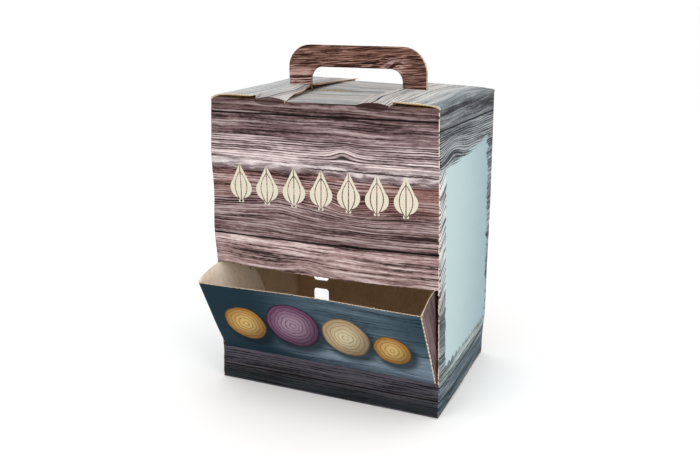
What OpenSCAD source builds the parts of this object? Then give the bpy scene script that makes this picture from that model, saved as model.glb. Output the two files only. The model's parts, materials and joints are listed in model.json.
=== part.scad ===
// Carry carton for onions, folded from fine corrugated board.
// The lower front panel is a chute that tilts out on a crease, two lid flaps lock over the
// carry handle, and the back panel has two columns of vents.
// The origin is the middle of the base, the front faces -Y and the carton stands on Z = 0.

/* [Carton] */
// Width of the carton, from side to side
box_w = 240; // [200:1:320]
// Depth of the carton, from front to back
box_d = 170; // [140:1:240]
// Height of the carton, up to the creases of its lid flaps
box_h = 300; // [240:1:400]
// Thickness of the corrugated board
board = 1.6; // [1.2:0.1:2]
// Outer radius of the upright creases
crease_r = 2.2; // [2:0.1:4]
// Clearance at a moving crease and between folded layers
fold_gap = 0.3; // [0.2:0.1:0.6]

/* [Base] */
// Width of the tongue that the front base flap tucks under the back one
tongue_w = 120; // [60:1:160]
// Reach of the tongue past the middle of the base
tongue_l = 22; // [10:1:40]
// Width of the seam between the base flaps
seam_w = 0.6; // [0.4:0.1:1.5]
// Length of the inner base flaps, from the side panels
inner_flap_l = 72; // [40:1:90]

/* [Glue lap] */
// Width of the glue lap inside the rear right corner
lap_w = 30; // [18:1:45]
// Distance from the ends of the glue lap to the base and to the top edge of the wall
lap_trim = 6; // [4:1:20]

/* [Chute] */
// Height of the strip of front panel under the crease of the chute
strip_h = 36; // [25:1:60]
// Length of the chute, from its crease to its top edge
chute_l = 93.6; // [70:0.1:120]
// Tilt of the chute from the plane of the front, as it stands at rest
chute_tilt = 26; // [0:1:60]
// Clearance between the chute and the cut edge of the upper front panel
cut_gap = 0.4; // [0.3:0.1:1]
// Clearance between a wing of the chute and the side panel
wing_gap = 0.9; // [0.5:0.1:2]
// Distance by which the rear edge of a wing stops short of the full round
wing_trim = 1.1; // [0.5:0.1:4]
// Angle that a wing spans, from the plane of the chute
wing_angle = 94; // [90:0.5:98]
// Angle of the catch notch in the rim of a wing, from the plane of the chute
catch_angle = 65.5; // [40:0.5:70]
// Width of the catch notch
catch_w = 3.5; // [2:0.1:6]
// Depth of the catch notch
catch_d = 4.5; // [2:0.1:8]

/* [Top flaps and handle] */
// Rise of the front and back top flaps, from their creases to the handle
flap_rise = 3; // [2.4:0.1:6]
// Width by which the top flaps reach past the feet of the handle, on each side
flap_over = 2; // [1:0.5:8]
// Width of the handle over its feet
handle_w = 152; // [130:1:160]
// Width of each foot of the handle
foot_w = 25; // [18:1:30]
// Height of the top of the handle above the creases of the lid flaps
handle_h = 48; // [42:1:70]
// Height of the band above the grip hole
band_h = 21; // [15:1:26]
// Outer radius of the corners of the handle
handle_r = 20; // [10:1:24]
// Radius of the upper corners of the grip hole
grip_r = 12; // [5:1:16]
// Gap between the two plies of the handle
ply_gap = 0.2; // [0.1:0.1:0.6]

/* [Lid flaps] */
// Gap between the tips of the two lid flaps
tip_gap = 72; // [50:1:90]
// Width by which a lid flap covers the grip hole beside a foot of the handle
mouth_over = 1; // [0:0.5:4]
// Clearance between the slit of a lid flap and the foot of the handle
slit_gap = 0.5; // [0.4:0.1:1.5]
// Clearance between a lid flap and the edge of the top flap that it rests on
rest_gap = 0.4; // [0.3:0.1:1]
// Distance of the ends of a lid flap from the outer faces of the front and the back
lid_inset = 0.4; // [0.2:0.1:1.5]

/* [Locks] */
// Distance of a lock tab from the tip of its lid flap
lock_inset = 1; // [0.5:0.5:4]
// Width of a half-moon lock tab
lock_w = 34; // [24:1:36]
// Rise of a lock tab above the top edge of the wall
lock_rise = 4.5; // [3:0.1:7]
// Clearance around the ear that goes behind a lock tab
lock_gap = 0.4; // [0.3:0.1:1]
// Distance from each end of a lock tab to the ear behind it
ear_inset = 3; // [2:0.5:6]
// Depth of an ear below its lid flap
ear_d = 8; // [7:0.5:10]
// Radius of the lower corners of an ear
ear_r = 5; // [2:0.5:6]

/* [Vents] */
// Width and height of a vent
vent = 20; // [12:1:24]
// Corner radius of a vent
vent_r = 3.5; // [1:0.5:5]
// Distance from one vent to the next one above it
vent_pitch = 31; // [26:1:50]
// Distance of the middle of a column of vents from the side of the carton
vent_inset = 32; // [20:1:60]
// Height of the sill of the lowest vent
vent_sill = 29; // [15:1:60]
// Least height of wall above the highest vent
vent_head = 25; // [15:1:60]

/* [Hidden] */
$fn = 64;

wood_print = "#7d6466";
slate_print = "#2c4654";
pale_print = "#9a9aa0";

// Length by which a cutting shape runs past the face that it cuts
over = 1;
// Top edge of the four walls: the lid flaps fold one thickness of board above it
wall_h = box_h - board - fold_gap;
inner_r = max(crease_r - board, 0.2);
inner_w = box_w - 2 * board;
inner_d = box_d - 2 * board;

chute_w = inner_w - 2 * wing_gap;
wing_reach = chute_l - wing_trim;
mouth_top = strip_h + chute_l + cut_gap;

flap_half = handle_w / 2 + flap_over;
flap_top = wall_h + flap_rise;
grip_w = handle_w - 2 * foot_w;
handle_top = box_h + handle_h;
grip_top = handle_top - band_h;

// A lid flap lies on the outer edge of the top flaps, and that sets its tilt
rest_run = box_w / 2 - flap_half;
rest_rise = flap_rise + rest_gap - fold_gap - board;
lid_tilt = atan2(rest_rise, rest_run) + asin(board / norm([rest_run, rest_rise]));

lock_near = tip_gap / 2 + lock_inset;
lock_mid = lock_near + lock_w / 2;
lock_r = (pow(lock_w / 2, 2) + pow(lock_rise, 2)) / (2 * lock_rise);
ear_w = lock_w - 2 * ear_inset;
slot_d = board + 2 * lock_gap;
slit_w = 2 * board + ply_gap + 2 * slit_gap;

vent_rows = floor((wall_h - vent_head - vent - vent_sill) / vent_pitch) + 1;

// Distance along a lid flap from its crease to the point above a place that far from the middle
function along_lid(x) = (box_w / 2 - x) / cos(lid_tilt);

// Rectangle about the origin with four round corners
module round_rect(w, d, r) {
  square([w - 2 * r, d], center = true);
  square([w, d - 2 * r], center = true);
  for (x = [-1, 1], y = [-1, 1])
    translate([x * (w / 2 - r), y * (d / 2 - r)]) circle(r);
}

// Rectangle standing on the X axis, about the Y axis, with its two upper corners round
module arch(w, h, r) {
  translate([-w / 2, 0]) square([w, h - r]);
  translate([-w / 2 + r, 0]) square([w - 2 * r, h]);
  for (x = [-1, 1]) translate([x * (w / 2 - r), h - r]) circle(r);
}

// A shape drawn in X and Z, given a thickness towards +Y
module upright(thickness) {
  translate([0, thickness, 0]) rotate([90, 0, 0]) linear_extrude(thickness) children();
}

// A shape drawn in Y and Z, given a width along X, about the middle
module across(width) {
  rotate([90, 0, 90]) linear_extrude(width, center = true) children();
}

// The same shape at the front and at the back
module front_and_back() {
  children();
  mirror([0, 1, 0]) children();
}

module walls() {
  linear_extrude(wall_h) difference() {
    round_rect(box_w, box_d, crease_r);
    round_rect(inner_w, inner_d, inner_r);
  }
}

// Two outer base flaps that meet at a stepped seam, over two inner ones
module base_flaps() {
  difference() {
    linear_extrude(board) round_rect(box_w, box_d, crease_r);
    base_seam();
  }
  for (side = [-1, 1])
    translate([side * (inner_w - inner_flap_l) / 2, 0, board])
      linear_extrude(board) square([inner_flap_l, inner_d], center = true);
}

module base_seam() {
  seam_run = (inner_w - tongue_w) / 2;
  for (side = [-1, 1]) {
    translate([side * (tongue_w + seam_run) / 2, 0, board / 2])
      cube([seam_run + seam_w, seam_w, board + over], center = true);
    translate([side * tongue_w / 2, tongue_l / 2, board / 2])
      cube([seam_w, tongue_l + seam_w, board + over], center = true);
  }
  translate([0, tongue_l, board / 2]) cube([tongue_w, seam_w, board + over], center = true);
}

module glue_lap() {
  lap_h = wall_h - 2 * lap_trim;
  translate([inner_w / 2 - board, inner_d / 2 - lap_w, lap_trim]) cube([board, lap_w, lap_h]);
}

// Front top flap: it rises a little from its crease to the middle of the top
module top_flap() {
  inner_face = -inner_d / 2;
  difference() {
    across(2 * flap_half) polygon([
      [inner_face - board / 2, wall_h],
      [inner_face, wall_h],
      [-ply_gap / 2, flap_top],
      [-ply_gap / 2, flap_top - board],
      [inner_face, wall_h - board],
      [inner_face - board / 2, wall_h - board],
    ]);
    for (side = [-1, 1]) lock_slot(side);
  }
}

// Slot behind a lock tab. It frees the top flap from the wall out to the flap's end.
module lock_slot(side) {
  slot_l = box_w / 2 - lock_near;
  translate([side * (lock_near + slot_l / 2), (slot_d - inner_d) / 2, wall_h])
    cube([slot_l, slot_d, 2 * (board + flap_rise)], center = true);
}

// Half-moon of the front panel that stays upright where its top flap folds back
module lock_tab(side) {
  translate([side * lock_mid, -box_d / 2, 0]) upright(board) intersection() {
    translate([0, wall_h + lock_rise - lock_r]) circle(lock_r);
    translate([-lock_w / 2, wall_h - board]) square([lock_w, lock_rise + board]);
  }
}

// What a folded crease takes off the sharp outer edge between the lock tabs
module crease_round() {
  translate([0, -box_d / 2, wall_h - board]) difference() {
    translate([-lock_near, -over, 0]) cube([2 * lock_near, board + over, board + over]);
    translate([0, board, 0]) rotate([0, 90, 0])
      cylinder(r = board, h = 2 * lock_near + 2 * over, center = true);
  }
}

// One ply of the handle, with the grip hole
module handle_ply() {
  foot_z = flap_top - board;
  translate([0, -ply_gap / 2 - board, 0]) upright(board) difference() {
    translate([0, foot_z]) arch(handle_w, handle_top - foot_z, handle_r);
    translate([0, foot_z - over]) arch(grip_w, grip_top - foot_z + over, grip_r);
  }
}

module chute_mouth() {
  translate([-inner_w / 2, -box_d / 2 - over, strip_h - fold_gap])
    cube([inner_w, crease_r + over, mouth_top - strip_h + fold_gap]);
}

module vents() {
  for (side = [-1, 1], row = [0 : vent_rows - 1])
    translate([side * (box_w / 2 - vent_inset), inner_d / 2 - over, vent_sill + row * vent_pitch + vent / 2])
      upright(board + 2 * over) round_rect(vent, vent, vent_r);
}

module carton_body() {
  color(wood_print) {
    difference() {
      walls();
      chute_mouth();
      vents();
      front_and_back() crease_round();
    }
    base_flaps();
    glue_lap();
    front_and_back() {
      top_flap();
      handle_ply();
      for (side = [-1, 1]) lock_tab(side);
    }
  }
}

// Front plate of the chute with its two wings, as a plan that is open to the back
module chute_plan() {
  plan_d = wing_reach + over;
  difference() {
    translate([0, plan_d / 2]) round_rect(chute_w, plan_d, crease_r);
    translate([0, plan_d / 2 + board]) round_rect(chute_w - 2 * board, plan_d, inner_r);
  }
}

// Outline of the chute from the side: the plate, and the round of a wing about the crease
module chute_side() {
  wing_drop = wing_reach * tan(wing_angle - 90);
  square([board, chute_l]);
  difference() {
    intersection() {
      circle(chute_l);
      polygon([[0, 0], [0, chute_l], [wing_reach, chute_l], [wing_reach, -wing_drop]]);
    }
    rotate(-catch_angle) translate([-catch_w / 2, chute_l - catch_d]) square([catch_w, catch_d + over]);
  }
}

module chute() {
  color(slate_print)
    translate([0, -box_d / 2, strip_h]) rotate([chute_tilt, 0, 0]) intersection() {
      translate([0, 0, -chute_l]) linear_extrude(2 * chute_l) chute_plan();
      across(chute_w) chute_side();
    }
}

// Plan of a lid flap, with its crease on the Y axis and its mouth towards +X
module lid_plan() {
  half_d = box_d / 2 - lid_inset;
  tip_d = inner_d / 2 - lock_gap;
  step = along_lid(lock_near + lock_w + lock_gap);
  tip = along_lid(tip_gap / 2);
  mouth = along_lid(grip_w / 2 - mouth_over);
  difference() {
    union() {
      translate([board / 2, -half_d]) square([step - board / 2, 2 * half_d]);
      polygon([[board, -tip_d], [tip, -tip_d], [mouth, 0], [tip, tip_d], [board, tip_d]]);
    }
    translate([along_lid(handle_w / 2 + slit_gap), -slit_w / 2]) square([box_w / 2, slit_w]);
  }
}

// Ear that stands down from a lid flap, behind a lock tab
module lid_ear() {
  translate([along_lid(lock_mid), -inner_d / 2 + lock_gap, -board / 2])
    mirror([0, 0, 1]) upright(board) arch(ear_w, ear_d + board / 2, ear_r);
}

// Lid flap on the left, with its crease on the Y axis and its upper face at Z = 0
module lid_flap() {
  half_d = box_d / 2 - lid_inset;
  translate([0, 0, -board]) linear_extrude(board) lid_plan();
  translate([board / 2, 0, -board / 2]) rotate([90, 0, 0])
    cylinder(d = board, h = 2 * half_d, center = true);
  front_and_back() lid_ear();
}

module left_lid_flap() {
  color(pale_print) translate([-box_w / 2, 0, box_h]) rotate([0, -lid_tilt, 0]) lid_flap();
}

module right_lid_flap() {
  color(pale_print) mirror([1, 0, 0]) translate([-box_w / 2, 0, box_h]) rotate([0, -lid_tilt, 0]) lid_flap();
}

carton_body();
chute();
left_lid_flap();
right_lid_flap();
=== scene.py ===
"""Carry carton for onions, folded from fine corrugated board that is printed as weathered planks.

Each sheet is die cut flat, scored where it bends, printed, and then folded into its place.
Lengths on a flat sheet are in millimetres, and a folded sheet is in metres in the shared frame.
"""
import json
import math
import random

import bmesh
import bpy
from mathutils import Matrix, Vector


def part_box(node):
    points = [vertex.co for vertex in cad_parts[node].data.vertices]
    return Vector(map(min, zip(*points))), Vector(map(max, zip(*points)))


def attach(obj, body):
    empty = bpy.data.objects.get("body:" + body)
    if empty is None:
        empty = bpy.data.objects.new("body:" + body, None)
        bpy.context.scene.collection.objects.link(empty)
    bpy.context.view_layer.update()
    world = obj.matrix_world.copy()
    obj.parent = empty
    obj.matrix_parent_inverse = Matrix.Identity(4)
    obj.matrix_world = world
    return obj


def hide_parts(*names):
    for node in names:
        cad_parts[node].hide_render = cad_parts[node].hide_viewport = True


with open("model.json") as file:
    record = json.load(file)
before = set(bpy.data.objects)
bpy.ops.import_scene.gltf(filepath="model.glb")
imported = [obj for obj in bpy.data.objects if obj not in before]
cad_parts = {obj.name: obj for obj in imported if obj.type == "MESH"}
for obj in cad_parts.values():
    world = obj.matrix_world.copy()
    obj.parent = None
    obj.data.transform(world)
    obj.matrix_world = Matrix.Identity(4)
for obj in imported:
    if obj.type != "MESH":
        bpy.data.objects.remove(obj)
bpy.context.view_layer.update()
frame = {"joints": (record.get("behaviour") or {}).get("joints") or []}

# Sizes that the frame gives, in millimetres
MM = 0.001
JOINTS = {joint["name"]: joint for joint in frame["joints"]}
BODY_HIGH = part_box("carton_body")[1]
HALF_W = BODY_HIGH.x / MM
HALF_D = BODY_HIGH.y / MM
HANDLE_TOP = BODY_HIGH.z / MM
HINGE = Vector(JOINTS["chute_tilt"]["pos_m"]) / MM
CHUTE_TILT = math.radians(-JOINTS["chute_tilt"]["range_deg"][0])
LID_CREASE = JOINTS["left_lid_fold"]["pos_m"][2] / MM
CHUTE_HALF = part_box("chute")[1].x / MM

# Board and creases
BOARD = 1.6
CRUSH = 0.8
CREASE_R = 2.2
FOLD_GAP = 0.3
QUARTER = math.pi / 2
CORNER_RUN = CREASE_R * QUARTER
WALL_H = LID_CREASE - BOARD - FOLD_GAP
SHARP = math.radians(40)
SCORE = 10
FINE_SCORE = 1.5
BEND_SCORES = 6
WELD = 1e-4

# The sleeve, measured along its outer face from the middle of the front
FRONT_RUN = 2 * (HALF_W - CREASE_R)
SIDE_RUN = 2 * (HALF_D - CREASE_R)
FRONT_END = (FRONT_RUN + CORNER_RUN) / 2
SIDE_END = FRONT_END + SIDE_RUN + CORNER_RUN
BACK_END = SIDE_END + FRONT_RUN + CORNER_RUN
SIDE_MID = (FRONT_END + SIDE_END) / 2
BACK_MID = -(SIDE_END + BACK_END) / 2

# Chute
CHUTE_L = 93.6
CUT_GAP = 0.4
SILL_DROP = 0.15
WING_TRIM = 1.1
WING_SLACK = math.radians(4)
TEAR = 0.8
MOUTH_HALF = HALF_W - BOARD
MOUTH_SILL = HINGE.z - FOLD_GAP - SILL_DROP
MOUTH_TOP = HINGE.z + CHUTE_L + CUT_GAP
WING_REACH = CHUTE_L - WING_TRIM
WING_DROP = math.tan(WING_SLACK)
CATCH_ANGLE = 65.5
CATCH_W = 3.5
CATCH_D = 4.5
PLATE_HALF = CHUTE_HALF - CREASE_R
CHUTE_FOLD = PLATE_HALF + CORNER_RUN / 2

# Lock tabs, ears and lid tips, measured from the middle of the carton
TIP_X = 36
LOCK_NEAR = 37
LOCK_W = 34
LOCK_MID = LOCK_NEAR + LOCK_W / 2

# Top flaps and handle
FLAP_RISE = 3
FLAP_TOP = WALL_H + FLAP_RISE
FLAP_HALF = 78
HANDLE_HALF = 76
GRIP_HALF = 51
HANDLE_R = 25
GRIP_R = 13
BAND_H = 22
PLY_GAP = 0.2
PLY_FACE = BOARD + PLY_GAP / 2
FOOT_R = 1.2
SLOT_D = 2.4
SLIT = 0.4

# Vents in the back
VENT = 20
VENT_R = 3.5
VENT_PITCH = 31
VENT_IN = 32
VENT_SILL = 29
VENT_ROWS = 8


def smooth(value, low, high):
    """0 up to low and 1 from high on, with an easy curve between them."""
    share = min(max((value - low) / (high - low), 0), 1)
    return share * share * (3 - 2 * share)


def steps(low, high, pitch):
    """Places evenly spaced between two ends, no further apart than the pitch."""
    count = math.ceil((high - low) / pitch)
    return [low + (high - low) * step / count for step in range(count + 1)]


# Outlines on the flat sheet


def arc(middle, radius, start, end, count=8):
    """Points on an arc from one angle to another, in degrees."""
    angles = [math.radians(start + (end - start) * step / count) for step in range(count + 1)]
    return [(middle[0] + radius * math.cos(a), middle[1] + radius * math.sin(a)) for a in angles]


BRIDGE_PLACE = (0.35, 0.65)
BRIDGE_HALF = (0.5, 1.1)
TOOTH_SHARE = (0.5, 1.2)


def torn(start, end, tooth, pitch=8, seed=1):
    """A perforated edge: it keeps a small torn tooth at each bridge, on the side that tooth points to."""
    luck = random.Random(seed)
    start = Vector(start)
    run = Vector(end) - start
    ahead = run.normalized()
    count = round(run.length / pitch)
    points = [tuple(start)]
    for number in range(count):
        middle = start + run * (number + luck.uniform(*BRIDGE_PLACE)) / count
        half = ahead * luck.uniform(*BRIDGE_HALF)
        rise = Vector(tooth) * luck.uniform(*TOOTH_SHARE)
        points += [middle - half, middle - 0.6 * half + rise, middle + 0.5 * half + rise, middle + half]
    return [tuple(point) for point in points] + [tuple(end)]


def round_hole(middle, half, radius):
    """A square hole with round corners."""
    u, v = middle
    inner = half - radius
    points = []
    for number, (right, up) in enumerate(((1, 1), (-1, 1), (-1, -1), (1, -1))):
        points += arc((u + right * inner, v + up * inner), radius, 90 * number, 90 * number + 90, 5)
    return points


# Board work

LEFT_FLARE = 2.8
LEFT_BOW = 1.6
LEFT_WAVE = (0.6, 1.1, 85)
WAVE_CREST = 250
CORNER_OUT = 1.2
RIGHT_FLARE = 2.6
TOP_PINCH = 1.6
REAR_PINCH = 2.6
REAR_FLARE = 1.6
HANDLE_LEAN = 0.012
HANDLE_SHIFT = 0.6
STRIP_KICK = 2.5
STRIP_REACH = 40

# Heights from where each of these sets in to where it is full
LEFT_SPAN = (LID_CREASE, 230)
BOW_HEAD = (290, 200)
BOW_FOOT = (30, 70)
WAVE_HEAD = (LID_CREASE, 280)
WAVE_FOOT = (125, 150)
CORNER_SPAN = (270, LID_CREASE)
RIGHT_SPAN = (230, 20)
PINCH_SPAN = (200, LID_CREASE)
REAR_SPAN = (60, 190)
REAR_FOOT = (55, 15)
HANDLE_SPAN = (LID_CREASE + 12, LID_CREASE + 35)
STRIP_SPAN = (HINGE.z, 0)


def settled(x, y, z):
    """A place on the carton as it stands: its front flares below, its rear above, and its handle leans."""
    left = smooth(x, 0, -HALF_W)
    right = smooth(x, 0, HALF_W)
    front = smooth(y, HALF_D, -HALF_D)
    out, swing, pitch = LEFT_WAVE
    wave = out + swing * math.cos(2 * math.pi * (WAVE_CREST - min(z, WAVE_CREST)) / pitch)
    wave *= smooth(z, *WAVE_FOOT) * smooth(z, *WAVE_HEAD)
    bow = LEFT_BOW * smooth(z, *BOW_HEAD) * smooth(z, *BOW_FOOT)
    corner = CORNER_OUT * smooth(z, *CORNER_SPAN)
    flare = LEFT_FLARE * smooth(z, *LEFT_SPAN)
    x -= left * front * (flare + bow + wave + corner)
    x += front * right * (RIGHT_FLARE * smooth(z, *RIGHT_SPAN) - TOP_PINCH * smooth(z, *PINCH_SPAN))
    x += (1 - front) * right * (REAR_FLARE * smooth(z, *REAR_SPAN) - REAR_PINCH * smooth(z, *REAR_FOOT))
    handle = smooth(z, *HANDLE_SPAN)
    z -= HANDLE_LEAN * x * handle
    x -= HANDLE_SHIFT * handle
    y -= STRIP_KICK * smooth(y, STRIP_REACH - HALF_D, -HALF_D) * smooth(z, *STRIP_SPAN)
    return Vector((x, y, z))


def die_cut(outline, holes=(), u_scores=(), v_scores=(), crush=CRUSH):
    """A flat sheet of board with its printed face at 0, scored along lines of equal u and equal v.

    crush is how much thinner its cut edges are pressed, from the inside.
    """
    sheet = bmesh.new()
    for loop in (outline, *holes):
        corners = [sheet.verts.new((u, v, 0)) for u, v in loop]
        for here, there in zip(corners, corners[1:] + corners[:1]):
            sheet.edges.new((here, there))
    bmesh.ops.triangle_fill(sheet, edges=sheet.edges[:], use_beauty=True, normal=(0, 0, 1))
    for across, places in (((1, 0, 0), u_scores), ((0, 1, 0), v_scores)):
        for place in places:
            whole = sheet.verts[:] + sheet.edges[:] + sheet.faces[:]
            line = Vector(across) * place
            bmesh.ops.bisect_plane(sheet, geom=whole, dist=WELD, plane_co=line, plane_no=across)
    rim = {tuple(vert.co.xy) for vert in sheet.verts if vert.is_boundary}
    bmesh.ops.solidify(sheet, geom=sheet.faces[:], thickness=BOARD)
    for vert in sheet.verts:
        if vert.co.z < -BOARD / 2 and tuple(vert.co.xy) in rim:
            vert.co.z += crush
    sheet.normal_update()
    return sheet


def bare_edge(u, v):
    return RAW_EDGE


def all_over(paper):
    """The same paper at every place on a sheet."""
    def paper_at(u, v):
        return paper
    return paper_at


def fold_up(name, sheet, fold, print_at, edge_at=bare_edge, give=1.0, inside=None):
    """Prints a flat sheet, folds it and hands it over as an object.

    print_at and edge_at give the materials of the printed face and of the cut edge at a place on the
    sheet, and give is the share of the carton's settling that the sheet takes part in.
    """
    inside = inside or KRAFT
    blank = sheet.loops.layers.uv.new("blank")
    section = sheet.loops.layers.uv.new("section")
    papers = [inside]
    for edge in sheet.edges:
        edge.smooth = edge.calc_face_angle(0) < SHARP
    for face in sheet.faces:
        middle = face.calc_center_median()
        if face.normal.z > 0.5:
            paper = print_at(middle.x, middle.y)
        elif face.normal.z < -0.5:
            paper = inside
        else:
            paper = edge_at(middle.x, middle.y)
        if paper not in papers:
            papers.append(paper)
        face.material_index = papers.index(paper)
        face.smooth = True
        for loop in face.loops:
            u, v, depth = loop.vert.co
            loop[blank].uv = (u, v)
            loop[section].uv = (u, depth)
    for vert in sheet.verts:
        square = Vector(fold(*vert.co))
        vert.co = square.lerp(settled(*square), give) * MM
    mesh = bpy.data.meshes.new(name)
    sheet.to_mesh(mesh)
    sheet.free()
    for paper in papers:
        mesh.materials.append(paper)
    piece = bpy.data.objects.new(name, mesh)
    bpy.context.collection.objects.link(piece)
    return piece


def walk(start, heading, legs, run):
    """The place and the outward normal, in a section, that far along a folded strip.

    The strip sets off from start on its heading. Each leg is a length and a turn to the left.
    """
    place = Vector(start)
    for length, turn in legs:
        step = min(run, length)
        bend = turn * step / length
        if turn:
            radius = length / turn
            place += radius * Vector((
                math.sin(heading + bend) - math.sin(heading),
                math.cos(heading) - math.cos(heading + bend),
            ))
        else:
            place += step * Vector((math.cos(heading), math.sin(heading)))
        heading += bend
        run -= step
        if run <= 0:
            break
    return place, Vector((math.sin(heading), -math.cos(heading)))


def half_turn(fold):
    """The same fold on the other side of the carton, turned half round."""
    def turned(u, v, depth):
        x, y, z = fold(u, v, depth)
        return -x, -y, z
    return turned


# Shading


class Ink:
    """A socket in a material. Sums on it add Math nodes, and node() adds any other node."""

    def __init__(self, tree, socket=None):
        self.tree = tree
        self.socket = socket

    def node(self, kind, settings, sockets, out=0):
        node = self.tree.nodes.new(kind)
        for name, value in settings.items():
            if name == "stops":
                set_stops(node.color_ramp, value)
            else:
                setattr(node, name, value)
        for name, value in sockets.items():
            if isinstance(value, Ink):
                self.tree.links.new(value.socket, node.inputs[name])
            else:
                node.inputs[name].default_value = value
        return Ink(self.tree, node.outputs[out])

    def math(self, operation, *values):
        return self.node("ShaderNodeMath", {"operation": operation}, dict(enumerate(values)))

    def __add__(self, other):
        return self.math("ADD", self, other)

    __radd__ = __add__

    def __sub__(self, other):
        return self.math("SUBTRACT", self, other)

    def __rsub__(self, other):
        return self.math("SUBTRACT", other, self)

    def __mul__(self, other):
        return self.math("MULTIPLY", self, other)

    __rmul__ = __mul__

    def __truediv__(self, other):
        return self.math("DIVIDE", self, other)

    def __pow__(self, other):
        return self.math("POWER", self, other)

    def __rpow__(self, other):
        return self.math("POWER", other, self)

    def __abs__(self):
        return self.math("ABSOLUTE", self)

    def sine(self):
        return self.math("SINE", self)

    def least(self, other):
        return self.math("MINIMUM", self, other)

    def most(self, other):
        return self.math("MAXIMUM", self, other)

    def between(self, low, high):
        """0 up to low and 1 from high on. Where low is the greater, it runs the other way."""
        ends = {"From Min": min(low, high), "From Max": max(low, high)}
        ends["To Min"] = float(low > high)
        ends["To Max"] = float(low < high)
        return self.node("ShaderNodeMapRange", {"interpolation_type": "SMOOTHSTEP"}, {"Value": self, **ends})


def set_stops(ramp, stops):
    while len(ramp.elements) < len(stops):
        ramp.elements.new(1)
    for element, (place, colour) in zip(ramp.elements, stops):
        element.position = place
        element.color = colour


def tint(code):
    """A colour for a node from six hex digits."""
    levels = [int(code[place:place + 2], 16) / 255 for place in (0, 2, 4)]
    linear = [level / 12.92 if level <= 0.04045 else ((level + 0.055) / 1.055) ** 2.4 for level in levels]
    return (*linear, 1)


SEED_STRIDE = 7.3


def noise(along, across, detail=2, seed=0):
    """Cloudy noise about 0.5, over two coordinates that are each counted in grain sizes."""
    place = along.node("ShaderNodeCombineXYZ", {}, {0: along, 1: across, 2: seed * SEED_STRIDE})
    return place.node("ShaderNodeTexNoise", {}, {"Vector": place, "Scale": 1, "Detail": detail})


def ramp(value, stops):
    return value.node("ShaderNodeValToRGB", {"stops": stops}, {0: value})


def lay(share, under, over):
    """One colour laid over another, by a share."""
    return share.node("ShaderNodeMix", {"data_type": "RGBA"}, {0: share, 6: under, 7: over}, out=2)


PAPER_SHEEN = 0.04
INK_RELIEF = 0.05
INK_ROUGHNESS = 0.12
FLUTE = 3.2
MATT = 0.5
SEMI_MATT = 0.45
SATIN = 0.4


def open_paper(name):
    """A new material, and the place on its flat sheet in millimetres."""
    material = bpy.data.materials.new(name)
    material.use_nodes = True
    pen = Ink(material.node_tree)
    place = pen.node("ShaderNodeUVMap", {"uv_map": "blank"}, {})
    u = pen.node("ShaderNodeSeparateXYZ", {}, {0: place}, out=0)
    v = pen.node("ShaderNodeSeparateXYZ", {}, {0: place}, out=1)
    return material, u, v


def finish_paper(material, colour, roughness, height, lift):
    """Wires a colour, a roughness and a relief of that many millimetres into a material."""
    shader = material.node_tree.nodes["Principled BSDF"]
    pen = Ink(material.node_tree)
    bump = pen.node("ShaderNodeBump", {}, {"Height": height, "Distance": lift * MM, "Strength": 1.0})
    for name, value in (("Base Color", colour), ("Roughness", roughness), ("Normal", bump)):
        material.node_tree.links.new(value.socket, shader.inputs[name])
    shader.inputs["Specular IOR Level"].default_value = PAPER_SHEEN
    return material


def flutes(u, v):
    """Faint washboard of the flutes under the liner, with the tooth of the paper."""
    return 0.5 + 0.3 * (u * (2 * math.pi / FLUTE)).sine() + 0.5 * (noise(u / 0.7, v / 0.7, 2, 91) - 0.5)


def finish_print(material, colour, tone, u, v, roughness=MATT):
    """Finishes a printed paper: pale wood is a little rougher, and the flutes show through."""
    return finish_paper(material, colour, roughness + INK_ROUGHNESS * tone, flutes(u, v), INK_RELIEF)


def grain_lines(along, across, seed, tilt, humps):
    """The height across the grain that a point has once the wood's tilt, waves and humps are taken out."""
    bent = across - tilt * along + 7 * (noise(along / 110, across / 70, 1, seed) - 0.5)
    bent = bent + 2 * (noise(along / 30, across / 14, 1, seed + 1) - 0.5)
    for at_along, at_across, reach, lift in humps:
        far = ((along - at_along) / reach) ** 2 + ((across - at_across) / (0.5 * reach)) ** 2
        bent = bent - lift * math.e ** (0 - far)
    return bent


ZONE_END = 5


def zones(height, spans):
    """A weight that holds over some spans of height, each with soft ends."""
    total = 0
    for low, high, weight in spans:
        inside = height.between(low, low + ZONE_END) * height.between(high, high - ZONE_END)
        total = total + weight * inside
    return total


def planks(along, across, seed, bands, dark, pale, seams=(), ridges=(), humps=(), tilt=0.0, contrast=1.0):
    """Colour of weathered planks, and its tone.

    bands are heights with the wood's colour there, seams are gaps between planks and ridges are
    spans of height where the winter rings stand out as even lines.
    """
    bent = grain_lines(along, across, seed, tilt, humps)
    low = bands[0][0]
    reach = bands[-1][0] - low
    base = ramp((bent - low) / reach, [((height - low) / reach, tint(code)) for height, code in bands])
    fibre = noise(along / 34, bent / 1.1, 3, seed + 2) - 0.5
    streak = noise(along / 110, bent / 2.4, 3, seed + 3) - 0.5
    broad = noise(along / 100, bent / 8, 2, seed + 4) - 0.5
    fleck = noise(along / 6, bent / 1.6, 3, seed + 5) - 0.5
    tone = 0.5 + contrast * (1.6 * fibre + 2.0 * streak + 1.7 * broad + 0.9 * fleck)
    if ridges:
        sway = 5 * noise(along / 80, bent / 7, 2, seed + 6)
        rings = (bent * (2 * math.pi / RING_PITCH) + sway).sine()
        tone = tone + 0.38 * zones(bent, ridges) * rings
    light = base.node("ShaderNodeRGBToBW", {}, {0: base})
    colour = lay(0.92 * tone.between(0.56, 0.05), base, tint(dark))
    colour = lay((2.8 * light).least(0.9) * tone.between(0.5, 1.1), colour, tint(pale))
    for at_zero, slope, width, jag in seams:
        off = across - slope * along - at_zero + jag * (noise(along / 9, across / 40, 3, seed + 7) - 0.5)
        colour = lay(0.97 * abs(off).between(width, 0.55 * width), colour, tint(SEAM_INK))
    return colour, tone


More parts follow.
